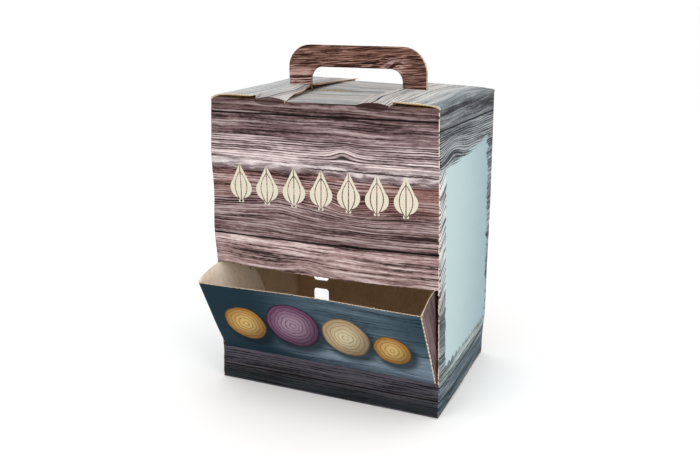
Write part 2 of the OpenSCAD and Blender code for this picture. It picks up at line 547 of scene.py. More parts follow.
def bark(colour, along, off, seed):
    """A ragged strip of bleached and speckled bark laid over wood, along the line where off is 0."""
    ragged = off + 5 * (noise(along / 8, off / 40, 3, seed) - 0.5)
    strip = ragged.between(-6, -4.5) * ragged.between(5, 3)
    speckle = noise(along / 16, ragged / 2.6, 5, seed + 1) + 0.05 * ragged
    stops = [(0.2, tint("3a2b2c")), (0.42, tint("7b6d70")), (0.55, tint("b3a6a6")), (0.8, tint("e8dfdd"))]
    return lay(0.85 * strip, colour, ramp(speckle, stops))


def worn(colour, far, v, seed, reach=0.7, share=0.5):
    """Print rubbed off down to the cream board, where far is near 0."""
    rubbed = noise(v / 14, v / 3.5, 3, seed).between(share, share + 0.1)
    return lay(abs(far).between(reach, 0.4 * reach) * rubbed, colour, tint(WORN_BOARD))


def stencil_bulb(x, y, size):
    """A simple bulb with its neck and its roots, cut as a stencil: 1 inside it."""
    body = (x / size) ** 2 + ((y + 0.1 * size) / (0.92 * size)) ** 2
    neck = abs(x) - (size * 1.02 - y * 0.52).most(0.9)
    neck_band = y.between(0.3 * size, 0.42 * size) * y.between(1.95 * size, 1.9 * size)
    neck_sides = abs(x).between(0.7 * size, 0.66 * size)
    shape = body.between(1.03, 0.97).most(neck.between(0.3, -0.3) * neck_band * neck_sides)
    roots = abs(x).between(0.26 * size, 0.2 * size)
    roots = roots * y.between(-1.36 * size, -1.3 * size) * y.between(-0.8 * size, -0.9 * size)
    skin = abs(abs(x) - 0.55 * size * (1 - (y / (1.3 * size)) ** 2)).between(0.35, 0.75)
    split = abs(x).between(0.35, 0.75)
    return shape.most(roots) * skin * split


FRONT_BANDS = (
    (125, "987e7c"), (150, "9c8280"), (162, "a18685"), (164, "6e5757"), (195, "7a6261"), (214, "85645f"),
    (230, "86645f"), (238, "958788"), (247, "a08d8e"), (258, "917d7e"), (268, "745d5f"), (284, "705a5b"),
    (288, "604a4a"), (300, "624c4b"),
)
SIDE_BANDS = (
    (0, "3a4952"), (24, "46565f"), (30, "42525a"), (34, "6f7c7c"), (45, "778585"), (52, "5c6b72"),
    (235, "687175"), (262, "626467"), (277, "585c62"), (284, "535558"), (300, "535558"),
)
# The pale blue-grey of the lids and the top flaps is partly bleached print and partly painted glare.
LEFT_LID_BANDS = ((0, "a0a3a6"), (15, "b6b8b9"), (40, "bbbdbe"), (60, "b8b3b1"), (85, "b7b1b0"))
RIGHT_LID_BANDS = (
    (0, "525b61"), (8, "7d868b"), (17, "b0b5b8"), (35, "c4c4c1"), (60, "c6c1bd"), (85, "c4beb9"),
)
TOP_BANDS = ((0, "9c9a98"), (10, "a9a7a5"), (34, "b7b1ad"), (60, "b2b0ae"), (85, "a8a8a8"))
HANDLE_BANDS = ((80, "77554b"), (92, "6c4c46"), (108, "63433a"), (122, "604036"), (135, "5c3b31"))
PLUM_BANDS = ((0, "232729"), (9, "25292c"), (16, "3d3b40"), (28, "46424a"), (40, "4f4a54"))
SLATE_BANDS = (
    (0, "46525d"), (10, "677786"), (24, "6c7c88"), (44, "475a66"), (70, "43545f"), (94, "4f606c"),
)
WING_BANDS = ((-210, "4d3c3d"), (0, "6b5859"), (210, "4d3c3d"))
CREAM = "d2cbb9"
WORN_BOARD = "dcc9ac"
SEAM_INK = "0d0809"
RING_PITCH = 2.3
BARK_LINE = 236
BARK_DROP = 4
# Place, height and step of the painted shade on the half-moons of the front's lips.
LENS_Z = 298.6
LENS_H = 4.6
LENS_STEP = 1.2
BULBS = 7
BULB_PITCH = 29.0
BULB_LINE = 213
BULB_SIZE = 12.0


def front_wood(u, v):
    """Planks of the front, with painted shade darkening the half-moons of its two lips: their colour and
    tone.
    """
    seams = ((287.2, 0.0, 1.25, 0.8), (163.7, 0.009, 1.2, 1.0))
    ridges = ((240, 268, 1.0), (166, 232, 0.6), (133, 160, 0.2), (270, 300, 0.3))
    humps = ((23, 254, 12, 4.5), (38, 205, 26, -9), (-45, 196, 34, 6), (-16, 137, 16, 4))
    colour, tone = planks(u, v, 3, FRONT_BANDS, "1e1314", "ecdddc", seams, ridges, humps, -0.01)
    rust = u.between(20, 80) * v.between(198, 206) * v.between(232, 226)
    colour = lay(0.35 * rust, colour, tint("6c443e"))
    colour = bark(colour, u, v - BARK_LINE + BARK_DROP * u.between(0, 60), 45)
    gap = v - BARK_LINE - 0.8 + 2.5 * (noise(u / 7, v / 40, 3, 44) - 0.5)
    colour = lay(0.9 * abs(gap).between(1.0, 0.4) * u.between(-30, -5), colour, tint("22171a"))
    # Painted shade: each lip's half-moon is darkened, on top of the lean that its geometry has.
    lens_z = LENS_Z + LENS_STEP * u.between(0, -10)
    lens = ((abs(u) - LOCK_MID) / (0.5 * LOCK_W + 0.5)) ** 2 + ((v - lens_z) / LENS_H) ** 2
    colour = lay(0.72 * lens.between(1.1, 0.7), colour, tint("33211f"))
    return colour, tone


def front_print():
    material, u, v = open_paper("front planks")
    colour, tone = front_wood(u, v)
    for number in range(BULBS):
        x = u - BULB_PITCH * (number - (BULBS - 1) / 2)
        colour = lay(stencil_bulb(x, v - BULB_LINE, BULB_SIZE), colour, tint(CREAM))
    colour = worn(colour, u - FRONT_END, v, 61, 1.2, 0.43)
    return finish_print(material, colour, tone, u, v)


def crease_print():
    """The front's print where it runs on over the crease of a top flap."""
    material, u, v = open_paper("front planks at the crease")
    colour, tone = front_wood(u, v + (WALL_H - BOARD))
    return finish_print(material, colour, tone, u, v)


PANEL_FRONT = -69.5
PANEL_REAR = 86
PANEL_TOP = 243
PANEL_FOOT = 46
TOOTH = 6
MINT = ("a8bbbd", "8da3ab")


def mint_panel(y, v, seed):
    """1 inside the panel painted on a side: its top follows the grain, and its foot and rear are notched."""
    hairs = noise(v / 1.6, y / 300, 2, seed + 20) - 0.5
    top = PANEL_TOP + 0.09 * (y - PANEL_FRONT) - v + 16 * hairs
    front = y - PANEL_FRONT + 7 * (noise(v / 6, y / 90, 2, seed + 21) - 0.5)
    rear = PANEL_REAR - 0.1 * v - y + 22 * (noise(v / 5, y / 90, 1, seed + 22) - 0.5)
    teeth = y.math("PINGPONG", y + 9 * noise(y / 25, v / 200, 1, seed + 23), TOOTH)
    foot = v - PANEL_FOOT - 0.8 * teeth
    return top.between(0, 0.8) * front.between(0, 0.8) * rear.between(0, 0.8) * foot.between(0, 0.8)


def bleached_margin(colour, y, v, seed):
    """The pale strip between a side's panel and its front crease, with slanted dark ticks."""
    margin = y.between(PANEL_FRONT + 2, PANEL_FRONT)
    strip = margin * v.between(95, 125) * v.between(246, 236)
    colour = lay(0.85 * strip, colour, tint("d0d3d4"))
    patches = noise(v / 30, y / 90, 1, seed + 24).between(0.4, 0.52)
    ticks = noise((v - 0.8 * y) / 2.4, y / 40, 2, seed + 25).between(0.48, 0.56)
    colour = lay(0.9 * strip * patches * ticks, colour, tint("252c33"))
    slate = margin * v.between(62, 84) * v.between(124, 108)
    return lay(0.62 * slate * ticks.most(0.55), colour, tint("222c35"))


def side_print(name, middle, way, seed):
    """Blue-grey planks of a side, with a mint panel. way is 1 where u runs to the rear, and else -1."""
    material, u, v = open_paper(name)
    y = way * (u - middle)
    seams = ((279, 0.0, 1.1, 1.0), (31, 0.0, 1.0, 4.0))
    ridges = ((4, 30, 0.5), (238, 276, 1.0))
    humps = ((-46, 258, 24, 7),)
    colour, tone = planks(y, v, seed, SIDE_BANDS, "14191e", "cdd5d7", seams, ridges, humps)
    colour = bleached_margin(colour, y, v, seed)
    front, rear = MINT
    mint = ramp(y.between(PANEL_FRONT, PANEL_REAR), [(0, tint(front)), (1, tint(rear))])
    colour = lay(mint_panel(y, v, seed), colour, mint)
    return finish_print(material, colour, tone, u, v)


def back_print():
    material, u, v = open_paper("back planks")
    seams = ((288, 0.01, 0.95, 0.8), (236, 0.01, 1.0, 2.5), (158, 0, 1.2, 1.0), (80, 0, 1.2, 1.0))
    ridges = ((241, 270, 1.0), (20, 234, 0.5))
    bands = ((0, "665052"), (70, "8a7071"), (84, "6a4a48"), *FRONT_BANDS)
    colour, tone = planks(u - BACK_MID, v, 31, bands, "22171a", "ecdddc", seams, ridges)
    return finish_print(material, colour, tone, u, v)


# Lid flaps: bleached print, lightened and lowered in contrast as painted glare.
def lid_print(name, bands, seed):
    material, u, v = open_paper(name)
    seams = ((66, 0.02, 0.8, 3.0), (38, -0.03, 0.6, 3.0))
    colour, tone = planks(v, u, seed, bands, "4a4648", "e6e3df", seams, ((0, 90, 0.5),), (), 0.0, 0.55)
    cool = noise(v / 70, u / 8, 2, seed + 9).between(0.5, 0.7)
    colour = lay(0.3 * cool, colour, tint("8797a0"))
    return finish_print(material, colour, tone, u, v, SEMI_MATT)


# Top flaps: bleached print, lightened and lowered in contrast as painted glare.
def top_print():
    material, u, v = open_paper("bleached top with painted glare")
    colour, tone = planks(u, v, 71, TOP_BANDS, "4c4d51", "e0dcd6", (), ((0, 90, 0.4),), (), 0.0, 0.5)
    cool = noise(u / 60, v / 8, 2, 79).between(0.5, 0.7)
    colour = lay(0.45 * cool, colour, tint("8597a2"))
    return finish_print(material, colour, tone, u, v, SEMI_MATT)


def handle_print():
    material, u, v = open_paper("handle wood")
    ridges = ((80, 140, 0.9),)
    humps = ((46, 116, 15, 6), (30, 128, 30, 3))
    colour, tone = planks(u, v, 81, HANDLE_BANDS, "1f0d0a", "c79c8f", (), ridges, humps, 0.06, 1.5)
    foot = u.between(-44, -56) * v.between(112, 98)
    colour = lay(0.75 * foot * tone.between(0.35, 0.75), colour, tint("dcbab0"))
    colour = lay(0.3 * u.between(22, 58), colour, tint("351b14"))
    grain = v - 0.06 * u
    strands = noise(u / 26, grain / 1.6, 3, 88).between(0.45, 0.57)
    colour = lay((0.74 - 0.5 * foot) * strands, colour, tint("2f160f"))
    threads = noise(u / 22, grain / 0.9, 3, 86).between(0.54, 0.64)
    colour = lay(0.55 * threads, colour, tint("dcae9f"))
    # Painted shade: a near-black band low on the handle's plies, where they stand in the gap under the lids'
    # inner edges.
    colour = lay(0.85 * v.between(91, 89.5), colour, tint("1a0f0c"))
    knot = (((u - 43) / 17) ** 2 + ((v - 111) / 10) ** 2).between(1.0, 0.4)
    swirl = noise(u / 9, v / 1.3, 3, 85).between(0.42, 0.62)
    colour = lay(0.62 * knot * swirl * tone.between(0.45, 0.7), colour, tint("cbb0ac"))
    return finish_print(material, colour, tone, u, v)


def wing_print():
    material, u, v = open_paper("wing wood")
    colour, tone = planks(v, u, 87, WING_BANDS, "231719", "b9a5a7")
    return finish_print(material, colour, tone, u, v)


def strip_print():
    material, u, v = open_paper("plum strip")
    seams = ((17, 0.01, 0.9, 1.5),)
    colour, tone = planks(u, v, 93, PLUM_BANDS, "0e1012", "8c8289", seams, ((0, 40, 0.4),), (), 0.0, 0.7)
    colour = worn(colour, u + FRONT_END, v, 62, 1.2, 0.42)
    return finish_print(material, colour, tone, u, v, SEMI_MATT)


CHUTE_SHADE = "0b1a22"
FOLD_DOTS = 5.5
SLICE_RING = 4.2

# Flesh, core and ring colours, and then the place, row, size and colours of each slice
GOLD = ("9a7036", "c4a568", "6a431b")
PLUM = ("5d3a55", "957b8e", "2c1027")
PALE = ("9c8767", "c4b797", "73593c")
SLICES = ((-78, 42, 23, GOLD), (-24, 49, 29, PLUM), (33, 45, 25, PALE), (79, 38, 19, GOLD))


def bulb_slice(x, y, size, seed):
    """A round slice through a bulb: 1 inside it, how far its rings and skin darken it, and its glow."""
    wobble = 0.14 * size * (noise(x / (0.7 * size), y / (0.7 * size), 1, seed) - 0.5)
    far = (x * x + y * y) ** 0.5 + wobble
    inside = far.between(size + 0.3, size - 0.3)
    uneven = 7 * noise(x / 11, y / 11, 1, seed + 2) + (x - y) * (0.9 / size)
    rings = (far * (2 * math.pi / SLICE_RING) + uneven).sine().between(0.25, 1.0)
    rays = noise(x / 2.5, y / 2.5, 3, seed + 1).between(0.3, 0.7)
    skin = far.between(size - 1.8, size - 0.7)
    glow = far.between(size, 0.15 * size)
    return inside, ((0.35 + 0.4 * rays) * rings).most(skin), glow


def chute_print():
    material, u, v = open_paper("slate chute")
    ridges = ((0, 26, 0.3),)
    colour, tone = planks(u, v, 101, SLATE_BANDS, "16252e", "8d9fac", (), ridges, (), 0.0, 0.6)
    corner = u.between(20, -70).most(0.6 * u.between(60, 116) * v.between(30, 60))
    colour = lay(0.95 * corner, colour, tint("0b2530"))
    for number, (place, row, size, (flesh, core, ring)) in enumerate(SLICES):
        x = u - place
        y = v - row
        shadow = (((x - 4) / (1.15 * size)) ** 2 + ((y + 6) / (1.1 * size)) ** 2).between(1.35, 0.6)
        colour = lay(0.8 * shadow, colour, tint(CHUTE_SHADE))
        inside, rings, glow = bulb_slice(x, y, size, 111 + 5 * number)
        face = lay(rings, lay(glow, tint(flesh), tint(core)), tint(ring))
        face = lay(0.45 * (x - y).between(-0.4 * size, 1.6 * size), face, tint(CHUTE_SHADE))
        colour = lay(inside, colour, face)
    dots = (v * (2 * math.pi / FOLD_DOTS)).sine().between(0.1, 0.7)
    fold = abs(u - CHUTE_FOLD).between(1.7, 1.0)
    colour = lay(dots.most(0.4) * fold, colour, tint(WORN_BOARD))
    return finish_print(material, colour, tone, u, v, SATIN)


def kraft_paper(name, low, middle, high):
    material, u, v = open_paper(name)
    fleck = noise(u / 2.2, v / 5, 3, 5)
    cloud = noise(u / 40, v / 55, 2, 6)
    tone = 0.5 + 0.8 * (fleck - 0.5) + 0.8 * (cloud - 0.5)
    stops = [(0.2, tint(low)), (0.5, tint(middle)), (0.8, tint(high))]
    return finish_paper(material, ramp(tone, stops), 0.7 + 0.2 * (fleck - 0.5), flutes(u, v), 0.08)


def raw_board():
    material, u, v = open_paper("raw board edge")
    pen = Ink(material.node_tree)
    place = pen.node("ShaderNodeUVMap", {"uv_map": "section"}, {})
    depth = pen.node("ShaderNodeSeparateXYZ", {}, {0: place}, out=1)
    wave = abs(depth + 0.5 * BOARD - 0.42 * (u * (2 * math.pi / FLUTE)).sine()).between(0.3, 0.14)
    liner = abs(depth + 0.5 * BOARD).between(0.5, 0.62)
    solid = wave.most(liner)
    fleck = noise(u / 1.5, v / 1.5, 2, 8)
    colour = lay(solid, tint("b59a76"), ramp(fleck, [(0.3, tint("e2cfae")), (0.7, tint("f4e8d0"))]))
    return finish_paper(material, colour, 0.8 + 0.1 * fleck, solid, 0.2)


def pressed_edge():
    """Cut edge with the print's ink pressed over it."""
    material, u, v = open_paper("pressed edge")
    fleck = noise(u / 1.5, v / 1.5, 2, 9)
    colour = ramp(fleck, [(0.3, tint("7a5a4d")), (0.5, tint("b79c88")), (0.7, tint("dccab4"))])
    return finish_paper(material, colour, 0.7 + 0.1 * fleck, fleck, 0.1)


KRAFT = kraft_paper("kraft inside", "bfa485", "d2b99a", "dfcaae")
# A darker copy of the kraft: painted shade on the inner cut edges of the lid flaps.
SHADED_LID_EDGE_KRAFT = kraft_paper("kraft of the lid edges with painted shade", "7f6349", "96795d", "ac9073")
# A lighter copy of the kraft inside the carton: painted light on the inner faces of the chute and its wings.
LIT_CHUTE_KRAFT = kraft_paper("kraft of the chute with painted light", "e4d0ba", "f5e7d5", "faf0e4")
RAW_EDGE = raw_board()
PRESSED_EDGE = pressed_edge()
FRONT_PRINT = front_print()
CREASE_PRINT = crease_print()
RIGHT_PRINT = side_print("right planks", SIDE_MID, 1, 11)
LEFT_PRINT = side_print("left planks", -SIDE_MID, -1, 21)
BACK_PRINT = back_print()
LEFT_LID_PRINT = lid_print("bleached left lid with painted glare", LEFT_LID_BANDS, 51)
RIGHT_LID_PRINT = lid_print("bleached right lid with painted glare", RIGHT_LID_BANDS, 151)
TOP_PRINT = top_print()
HANDLE_PRINT = handle_print()
WING_PRINT = wing_print()
STRIP_PRINT = strip_print()
CHUTE_PRINT = chute_print()


# The sleeve: front, sides and back

CORNER_IN = CREASE_R * (1 - math.sqrt(0.5))
SLEEVE_START = (HALF_W - CORNER_IN, HALF_D - CORNER_IN)
SLEEVE_HEADING = 1.5 * QUARTER
SLEEVE_LEGS = [(CORNER_RUN / 2, QUARTER / 2)]
for panel_run in (FRONT_RUN, SIDE_RUN, FRONT_RUN, SIDE_RUN):
    SLEEVE_LEGS += [(panel_run, 0), (CORNER_RUN, QUARTER)]
SIDE_FOOT = BOARD + CREASE_R
LID_ROOT_Z = LID_CREASE - BOARD
ROOT_IN = 1
SIDE_SWELL = 1.3
SIDE_SWELL_FULL = 0.75 * WALL_H
FRONT_SWELL = 5.0
FRONT_SWELL_TOP = 0.8 * WALL_H
MOUTH_SAG = 0.8
MOUTH_EDGE = 2
SAG_REACH = 30
MOUTH_PITCH = 8
SIDE_PITCH = 5.5
MOUTH_TOOTH = 0.7
SIDE_TOOTH = 0.5
LIP_LEAN = 1.1
LIP_TOP = 5.4
LIP_ROOT = 6

# Heights of each lip at its middle and its ends, and of the edge at places beside the lips
FRONT_LIPS = ((4.2, 1.3), (LIP_TOP, 2.6))
FRONT_LIFTS = ((116, 1.2), (73, 1.5), (-73, 2.5), (-116, 3.3))
BACK_LIPS = ((4.5, 1.3), (4.5, 1.3))
BACK_LIFTS = ((116, 1.4), (73, 2.6), (-73, 2.6), (-116, 1.4))


def lip_arc(middle, rises):
    """Edge of a half-moon lip, from right to left. rises are its heights at its middle and at its ends."""
    top, end = rises
    radius = ((LOCK_W / 2) ** 2 + (top - end) ** 2) / (2 * (top - end))
    half_angle = math.degrees(math.asin(LOCK_W / 2 / radius))
    return arc((middle, WALL_H + top - radius), radius, 90 - half_angle, 90 + half_angle, 14)


def top_edge(middle, lips, lifts):
    """Top edge of the front or the back, from right to left: two half-moon lips, and a crease between them.

    lifts are how far the edge stands above the wall at places beside the lips.
    """
    beside = [(middle + x, WALL_H + lift) for x, lift in lifts]
    crease = [(middle + LOCK_NEAR, WALL_H - BOARD), (middle - LOCK_NEAR, WALL_H - BOARD)]
    right = lip_arc(middle + LOCK_MID, lips[0])
    left = lip_arc(middle - LOCK_MID, lips[1])
    return [*beside[:2], *right, *crease, *left, *beside[2:]]


def sleeve_outline():
    front = HALF_W - CREASE_R
    back_near = BACK_MID + front
    back_far = BACK_MID - front
    foot = [(back_far, SIDE_FOOT), (back_far, CREASE_R), (back_near, CREASE_R), (back_near, SIDE_FOOT)]
    foot += [(-front, SIDE_FOOT), (-front, CREASE_R), (front, CREASE_R), (front, SIDE_FOOT)]
    start = [(-BACK_END, WALL_H), (-BACK_END, SIDE_FOOT)]
    end = [(SIDE_END, SIDE_FOOT), (SIDE_END, WALL_H)]
    root_front = FRONT_END + ROOT_IN
    root_rear = SIDE_END - ROOT_IN
    right_top = [(root_rear, LID_ROOT_Z), (root_front, LID_ROOT_Z), (FRONT_END, WALL_H)]
    left_top = [(-FRONT_END, WALL_H), (-root_front, LID_ROOT_Z)]
    left_top += [(-root_rear, LID_ROOT_Z), (-SIDE_END, WALL_H)]
    front_top = top_edge(0, FRONT_LIPS, FRONT_LIFTS)
    back_top = top_edge(BACK_MID, BACK_LIPS, BACK_LIFTS)
    return [*start, *foot, *end, *right_top, *front_top, *left_top, *back_top]


def mouth_hole():
    top = MOUTH_TOP + TEAR
    edge = torn((MOUTH_HALF, top), (-MOUTH_HALF, top), (0, -MOUTH_TOOTH), MOUTH_PITCH, 3)
    edge += torn((-MOUTH_HALF, top), (-MOUTH_HALF, MOUTH_SILL), (SIDE_TOOTH, 0), SIDE_PITCH, 4)[1:]
    edge += torn((MOUTH_HALF, MOUTH_SILL), (MOUTH_HALF, top), (-SIDE_TOOTH, 0), SIDE_PITCH, 5)[:-1]
    return edge


def vent_holes():
    holes = []
    for side in (-1, 1):
        for row in range(VENT_ROWS):
            middle = (BACK_MID + side * (HALF_W - VENT_IN), VENT_SILL + row * VENT_PITCH + VENT / 2)
            holes.append(round_hole(middle, VENT / 2, VENT_R))
    return holes


def swell(u, v):
    """How far a panel bulges out there."""
    inside = smooth(v, WALL_H, SIDE_SWELL_FULL)
    if abs(u) < FRONT_END:
        low_edge = smooth(v, FRONT_SWELL_TOP, MOUTH_TOP) if v > HINGE.z + 1 else 0
        return FRONT_SWELL * math.cos(QUARTER * u / FRONT_END) ** 2 * low_edge
    if abs(u) < SIDE_END:
        return SIDE_SWELL * math.cos(QUARTER * (abs(u) - SIDE_MID) / (SIDE_END - SIDE_MID)) * inside
    return 0


def lip_lean(u, v):
    """How far the ear behind a half-moon lip pushes it out."""
    off = min(abs(abs(u) - LOCK_MID), abs(abs(u - BACK_MID) - LOCK_MID))
    height = smooth(v, WALL_H - LIP_ROOT, WALL_H + 2 * LIP_TOP)
    return LIP_LEAN * smooth(off, LOCK_W / 2, LOCK_W / 3) * height


def mouth_sag(u, v):
    """How far the torn edge over the mouth hangs down."""
    over_mouth = v > MOUTH_TOP - MOUTH_EDGE and abs(u) < MOUTH_HALF
    sag = MOUTH_SAG * smooth(v, MOUTH_TOP + SAG_REACH, MOUTH_TOP)
    return over_mouth * sag * math.cos(QUARTER * u / FRONT_END)


def sleeve_fold(u, v, depth):
    place, normal = walk(SLEEVE_START, SLEEVE_HEADING, SLEEVE_LEGS, u + BACK_END)
    place += (depth + swell(u, v) + lip_lean(u, v)) * normal
    return place.x, place.y, v - mouth_sag(u, v)


def sleeve_print(u, v):
    if abs(u) < FRONT_END:
        return FRONT_PRINT if v > HINGE.z else STRIP_PRINT
    if u > 0:
        return RIGHT_PRINT
    return LEFT_PRINT if u > -SIDE_END else BACK_PRINT


def sleeve_edge(u, v):
    """The ink runs over the cut edge of the half-moon lips and of the chute's crease."""
    lip = v > WALL_H and abs(abs(u) - LOCK_MID) < LOCK_W / 2
    crease = abs(u) < FRONT_END and v < HINGE.z + 1
    return sleeve_print(u, v) if lip or crease else RAW_EDGE


def make_sleeve():
    corners = (-BACK_END + CORNER_RUN / 2, -SIDE_END, -FRONT_END, FRONT_END, SIDE_END)
    u_scores = steps(-BACK_END, SIDE_END, SCORE)
    for corner in corners:
        u_scores += steps(corner - CORNER_RUN / 2, corner + CORNER_RUN / 2, CORNER_RUN / BEND_SCORES)
    v_scores = steps(0, WALL_H, SCORE) + steps(WALL_H - LIP_ROOT, WALL_H + LIP_TOP, FINE_SCORE)
    sheet = die_cut(sleeve_outline(), [mouth_hole(), *vent_holes()], u_scores, v_scores)
    return fold_up("sleeve", sheet, sleeve_fold, sleeve_print, sleeve_edge)


# Top flaps, each with one ply of the handle

FLAP_RUN = HALF_D - BOARD - PLY_FACE
FLAP_SLOPE = math.atan2(FLAP_TOP - WALL_H, FLAP_RUN)
FLAP_BEND = QUARTER - FLAP_SLOPE
FOOT_TRIM = FOOT_R * math.tan(FLAP_BEND / 2)
FLAP_START = BOARD * FLAP_BEND
FLAP_FOOT = FLAP_START + math.hypot(FLAP_RUN, FLAP_TOP - WALL_H) - FOOT_TRIM
JOINT_GAP = 0.15
FLAP_EDGE = FLAP_FOOT + FOOT_TRIM + PLY_FACE - JOINT_GAP
PLY_START = FLAP_FOOT + FOOT_R * FLAP_BEND
PLY_RISE = HANDLE_TOP - FLAP_TOP - FOOT_TRIM
PLY_TOP = PLY_START + PLY_RISE
FLAP_LEGS = [(FLAP_START, FLAP_BEND), (FLAP_FOOT - FLAP_START, 0)]
FLAP_LEGS += [(FOOT_R * FLAP_BEND, -FLAP_BEND), (PLY_RISE, 0)]
PANEL_LEGS = [(FLAP_START, FLAP_BEND), (PLY_TOP, 0)]
ROLL_REACH = 4.5
CREASE_INK = 1.5
PLY_CRUSH = 0.2
FLAP_HOLD = 52
HOLD_REACH = 16
LIFTED_LIP = (2, 18)
FLAP_STEPS = 5
EDGE_ROOM = 1
# Roll, slant, joint, lip and hold of each top flap
FRONT_SPRING = (2.2, 0.0, 0.9, 0.7, FLAP_HOLD)
BACK_SPRING = (7.4, 0.045, 0.9, 1.4, 68)


def flap_outline():
    slot = FLAP_START + SLOT_D
    fold = (FLAP_FOOT + PLY_START) / 2
    right = [(LOCK_NEAR, 0), (LOCK_NEAR, slot), (FLAP_HALF, slot), (FLAP_HALF, fold), (HANDLE_HALF, fold)]
    right += arc((HANDLE_HALF - HANDLE_R, PLY_TOP - HANDLE_R), HANDLE_R, 0, 90)
    return right + [(-x, t) for x, t in reversed(right)]


def grip_hole():
    top = PLY_TOP - BAND_H
    right = [(GRIP_HALF - SLIT, FLAP_EDGE), (GRIP_HALF - SLIT, FLAP_FOOT), (GRIP_HALF, FLAP_FOOT)]
    right += arc((GRIP_HALF - GRIP_R, top - GRIP_R), GRIP_R, 0, 90)
    return right + [(-x, t) for x, t in reversed(right)]


def flap_roll(x, t, roll, slant, joint, lip, hold):
    """How far a top flap springs up: behind its crease, and at its edge by the handle.

    hold is how far out on its right the lid holds the flap down.
    """
    out = max(t, 0) / FLAP_EDGE
    behind = (roll + slant * x) * (1 - math.exp(-t / ROLL_REACH)) * (1 - out)
    edge = (joint + lip * smooth(x, *LIFTED_LIP)) * out ** 2
    held = hold if x > 0 else FLAP_HOLD
    rise = behind * smooth(abs(x), held, held - HOLD_REACH)
    rise += edge * smooth(abs(x), FLAP_HOLD, FLAP_HOLD - HOLD_REACH)
    return rise * (t < FLAP_EDGE + SLIT)


def flap_fold(*spring):
    """The fold of the front top flap, with how it springs up."""
    def fold(x, t, depth):
        between_feet = abs(x) < GRIP_HALF - SLIT / 2 and t < FLAP_EDGE + SLIT
        legs = PANEL_LEGS if between_feet else FLAP_LEGS
        place, normal = walk((HALF_D, WALL_H - BOARD), QUARTER, legs, t)
        place += depth * normal
        return x, -place.x, place.y + flap_roll(x, t, *spring)
    return fold


def flap_print(x, t):
    if t < FLAP_START + CREASE_INK:
        return CREASE_PRINT
    return TOP_PRINT if t < (FLAP_FOOT + PLY_START) / 2 else HANDLE_PRINT


def flap_edge(x, t):
    """The ink runs over the edge of the grip hole, and the outer edge of the handle is pressed."""
    if t > FLAP_FOOT and abs(abs(x) - GRIP_HALF + SLIT / 2) < SLIT:
        return HANDLE_PRINT
    if t < FLAP_EDGE + EDGE_ROOM:
        return RAW_EDGE
    grip = abs(x) < GRIP_HALF + EDGE_ROOM and t < PLY_TOP - BAND_H / 2
    return HANDLE_PRINT if grip else PRESSED_EDGE


def make_top_flap(name, fold):
    x_scores = steps(-FLAP_HALF, FLAP_HALF, SCORE / 2)
    t_scores = steps(0, FLAP_START, FLAP_START / FLAP_STEPS)
    t_scores += steps(FLAP_FOOT, PLY_START, (PLY_START - FLAP_FOOT) / FLAP_STEPS)
    rolled = 5 * ROLL_REACH
    t_scores += steps(FLAP_START, rolled, FINE_SCORE) + steps(rolled, FLAP_FOOT, SCORE)
    sheet = die_cut(flap_outline(), [grip_hole()], x_scores, t_scores, PLY_CRUSH)
    return fold_up(name, sheet, fold, flap_print, flap_edge)


# Base

TONGUE_HALF = 60
TONGUE_L = 22
SEAM = 0.3
INNER_FLAP = 72
BASE_GAP = 0.6
BASE_HALF = HALF_W - BASE_GAP
INNER_GAP = 1
INNER_HALF = HALF_D - BOARD - INNER_GAP
INNER_TAPER = (6, 14)
LAP_W = 30
LAP_TRIM = 6
LAP_SLANT = 10
LAP_GAP = 0.05


def base_fold(u, v, depth):
    """An outer base flap: v runs from the middle of the base to the front crease."""
    legs = [(TONGUE_L + HALF_D - CREASE_R, 0), (CORNER_RUN, QUARTER)]
    place, normal = walk((-TONGUE_L, 0), 0, legs, v + TONGUE_L)
    place += depth * normal
    return u, -place.x, place.y


def inner_fold(u, v, depth):
    """An inner base flap on the right, one board above the outer ones."""
    legs = [(INNER_FLAP - CREASE_R, 0), (CORNER_RUN, QUARTER)]
    place, normal = walk((HALF_W - INNER_FLAP, BOARD), 0, legs, v)
    place += depth * normal
    return place.x, u, place.y


def make_outer_base():
    """The two outer base flaps: the front one reaches past the middle with a tongue."""
    end = HALF_D - CREASE_R + CORNER_RUN
    rest = [(-BASE_HALF, SEAM), (-BASE_HALF, end), (BASE_HALF, end), (BASE_HALF, SEAM)]
    tongue = [(TONGUE_HALF, SEAM), (TONGUE_HALF, -TONGUE_L), (-TONGUE_HALF, -TONGUE_L), (-TONGUE_HALF, SEAM)]
    recess = TONGUE_HALF + SEAM
    notch = [(recess, SEAM), (recess, TONGUE_L + SEAM), (-recess, TONGUE_L + SEAM), (-recess, SEAM)]
    flaps = (
        ("front_base_flap", tongue, base_fold, STRIP_PRINT),
        ("back_base_flap", notch, half_turn(base_fold), BACK_PRINT),
    )
    u_scores = steps(-BASE_HALF, BASE_HALF, SCORE)
    v_scores = steps(HALF_D - CREASE_R, end, CORNER_RUN / BEND_SCORES)
    pieces = []
    for name, inner_edge, fold, paper in flaps:
        sheet = die_cut([*inner_edge, *rest], [], u_scores, v_scores, 0)
        pieces.append(fold_up(name, sheet, fold, all_over(paper), all_over(paper)))
    return pieces


def make_inner_base():
    """The two inner base flaps, tapered towards the middle."""
    start = INNER_FLAP - CREASE_R
    end = start + CORNER_RUN
    inset, taper = INNER_TAPER
    outline = [(-INNER_HALF + inset, 0), (INNER_HALF - inset, 0)]
    outline += [(INNER_HALF, end - taper), (INNER_HALF, end)]
    outline += [(-INNER_HALF, end), (-INNER_HALF, end - taper)]
    pieces = []
    for name, fold in (("right_inner_flap", inner_fold), ("left_inner_flap", half_turn(inner_fold))):
        sheet = die_cut(outline, [], [], steps(start, end, CORNER_RUN / BEND_SCORES), 0)
        pieces.append(fold_up(name, sheet, fold, all_over(RIGHT_PRINT), all_over(RIGHT_PRINT)))
    return pieces


